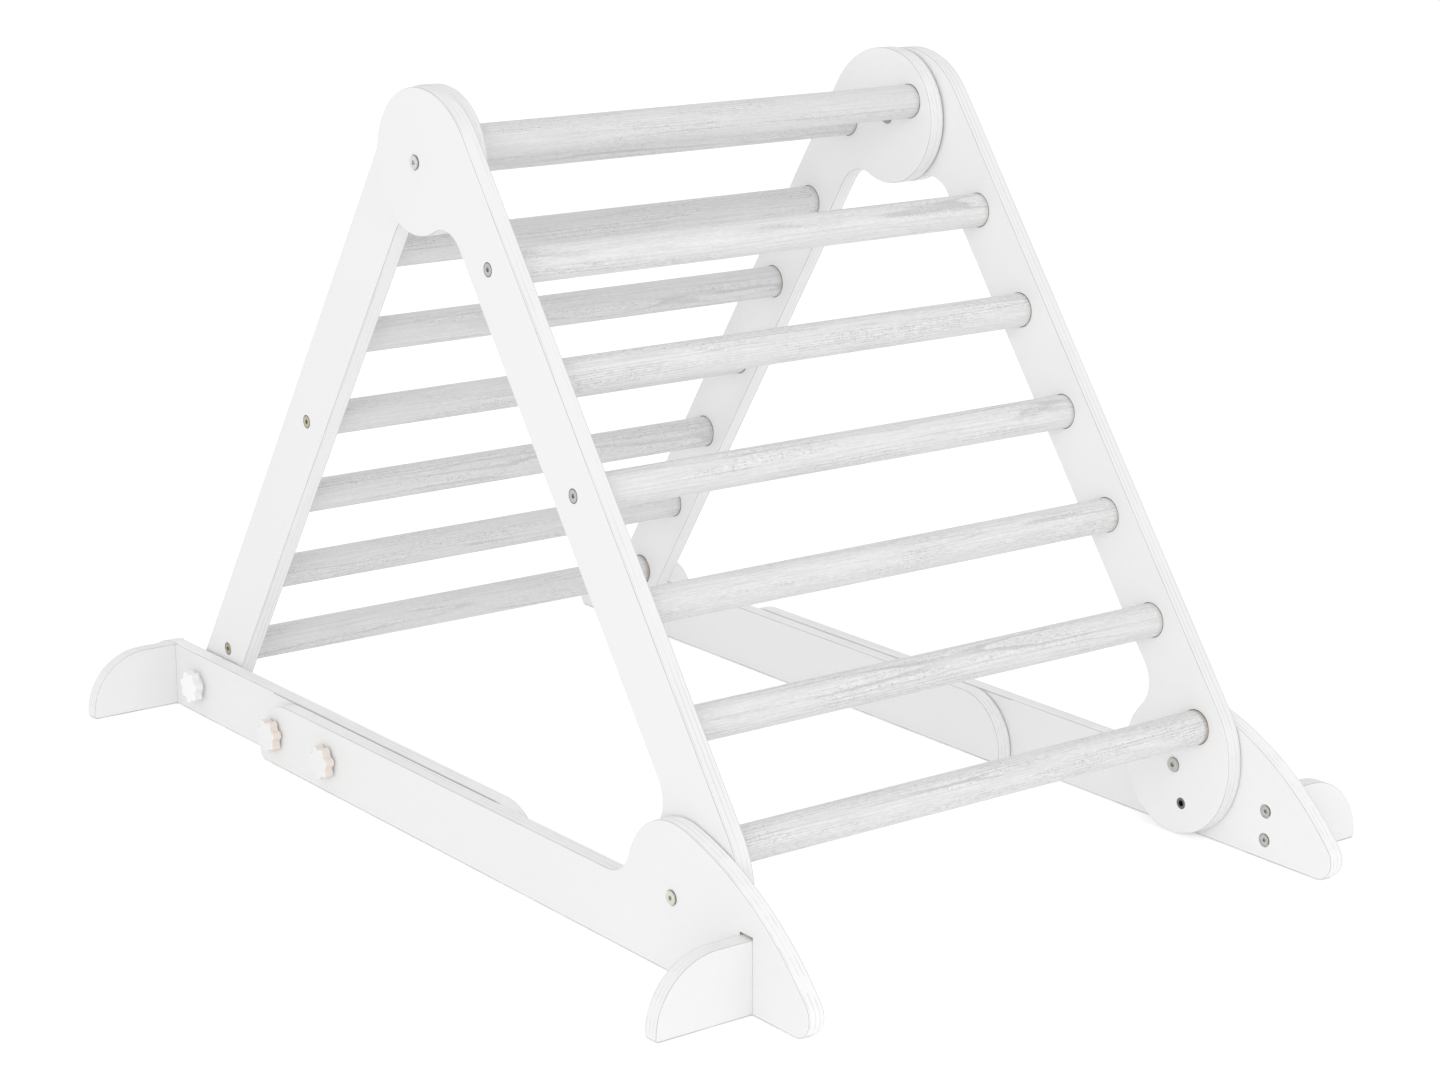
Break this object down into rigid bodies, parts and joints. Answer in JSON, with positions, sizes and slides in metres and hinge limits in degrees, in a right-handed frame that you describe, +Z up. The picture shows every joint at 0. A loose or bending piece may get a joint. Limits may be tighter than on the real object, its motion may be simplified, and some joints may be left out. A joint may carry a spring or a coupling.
{
  "type": "folding climbing triangle",
  "caption": "Folding climbing triangle: front and rear ladders with round rungs hinge at the top and stand on hinged base beams with side feet and star knobs.",
  "frame": {"origin": "middle of the bounding box at floor level", "axes": "+X along the rungs to the right-hand beam, +Y from the front tips to the rear ends, +Z up from the floor"},
  "size_m": [0.867, 1.2558, 0.7532],
  "materials": {
    "white_plywood": "white semi-transparent lacquer on birch plywood, layered edges",
    "white_beech": "white semi-transparent lacquer on beech, grain showing",
    "yellow_zinc": "yellow zinc plate",
    "zinc_steel": "zinc plate",
    "dark_steel": "dark plated",
    "cream_plastic": "moulded, satin",
    "white_plastic": "moulded, satin"
  },
  "bodies": {
    "front_ladder": {"front_rail_left": "white_plywood", "front_rail_right": "white_plywood", "front_rung_1": "white_beech", "front_rung_2": "white_beech", "front_rung_3": "white_beech", "front_rung_4": "white_beech", "front_rung_5": "white_beech", "front_rung_6": "white_beech", "top_pivot_bolt_left": "yellow_zinc", "top_pivot_bolt_right": "yellow_zinc", "bottom_pivot_bolt_left": "yellow_zinc", "bottom_pivot_bolt_right": "yellow_zinc", "top_pivot_sleeve_left": "zinc_steel", "top_pivot_sleeve_right": "zinc_steel", "bottom_pivot_sleeve_left": "zinc_steel", "bottom_pivot_sleeve_right": "zinc_steel", "top_washers": "dark_steel", "hub_inserts": "dark_steel", "front_rung_screws": "zinc_steel"},
    "rear_ladder": {"rear_rail_left": "white_plywood", "rear_rail_right": "white_plywood", "rear_rung_1": "white_beech", "rear_rung_2": "white_beech", "rear_rung_3": "white_beech", "rear_rung_4": "white_beech", "rear_rung_5": "white_beech", "rear_rung_6": "white_beech", "rear_rung_7": "white_beech", "rear_rung_8": "white_beech", "ladder_inserts": "dark_steel", "rear_rung_screws": "zinc_steel"},
    "base_left": {"base_front_left": "white_plywood", "base_rear_left": "white_plywood", "front_foot_left": "white_plywood", "rear_foot_left": "white_plywood", "foot_screws_left": "zinc_steel", "lap_inserts_left": "dark_steel"},
    "base_right": {"base_front_right": "white_plywood", "base_rear_right": "white_plywood", "front_foot_right": "white_plywood", "rear_foot_right": "white_plywood", "foot_screws_right": "zinc_steel", "lap_inserts_right": "dark_steel"},
    "lap_front_clamp_left": {"lap_knob_front_left": "cream_plastic", "lap_stud_front_left": "zinc_steel"},
    "lap_rear_clamp_left": {"lap_knob_rear_left": "cream_plastic", "lap_stud_rear_left": "zinc_steel"},
    "ladder_clamp_left": {"ladder_knob_left": "white_plastic", "ladder_stud_left": "zinc_steel"},
    "lap_front_clamp_right": {"lap_knob_front_right": "cream_plastic", "lap_stud_front_right": "zinc_steel"},
    "lap_rear_clamp_right": {"lap_knob_rear_right": "cream_plastic", "lap_stud_rear_right": "zinc_steel"},
    "ladder_clamp_right": {"ladder_knob_right": "white_plastic", "ladder_stud_right": "zinc_steel"}
  },
  "joints": [
    {"name": "rear_ladder_fold", "type": "hinge", "parent": "front_ladder", "child": "rear_ladder", "pos_m": [0, 0.01257, 0.68088], "axis": [-1, 0, 0], "range_deg": [0, 69]},
    {"name": "base_left_fold", "type": "hinge", "parent": "front_ladder", "child": "base_left", "pos_m": [-0.3215, -0.42945, 0.0725], "axis": [1, 0, 0], "range_deg": [0, 48]},
    {"name": "base_right_fold", "type": "hinge", "parent": "front_ladder", "child": "base_right", "pos_m": [0.3215, -0.42945, 0.0725], "axis": [1, 0, 0], "range_deg": [0, 48]},
    {"name": "lap_front_clamp_left_turn", "type": "hinge", "parent": "base_left", "child": "lap_front_clamp_left", "pos_m": [-0.3305, 0.18355, 0.035], "axis": [-1, 0, 0], "continuous": true},
    {"name": "lap_rear_clamp_left_turn", "type": "hinge", "parent": "base_left", "child": "lap_rear_clamp_left", "pos_m": [-0.3305, 0.29506, 0.035], "axis": [-1, 0, 0], "continuous": true},
    {"name": "ladder_clamp_left_turn", "type": "hinge", "parent": "base_left", "child": "ladder_clamp_left", "pos_m": [-0.312, 0.50094, 0.035], "axis": [-1, 0, 0], "continuous": true},
    {"name": "lap_front_clamp_right_turn", "type": "hinge", "parent": "base_right", "child": "lap_front_clamp_right", "pos_m": [0.3305, 0.18355, 0.035], "axis": [1, 0, 0], "continuous": true},
    {"name": "lap_rear_clamp_right_turn", "type": "hinge", "parent": "base_right", "child": "lap_rear_clamp_right", "pos_m": [0.3305, 0.29506, 0.035], "axis": [1, 0, 0], "continuous": true},
    {"name": "ladder_clamp_right_turn", "type": "hinge", "parent": "base_right", "child": "ladder_clamp_right", "pos_m": [0.312, 0.50094, 0.035], "axis": [1, 0, 0], "continuous": true}
  ],
  "couplings": [
    {"joint": "base_left_fold", "follows": "rear_ladder_fold", "ratio": 0.69},
    {"joint": "base_right_fold", "follows": "rear_ladder_fold", "ratio": 0.69}
  ]
}
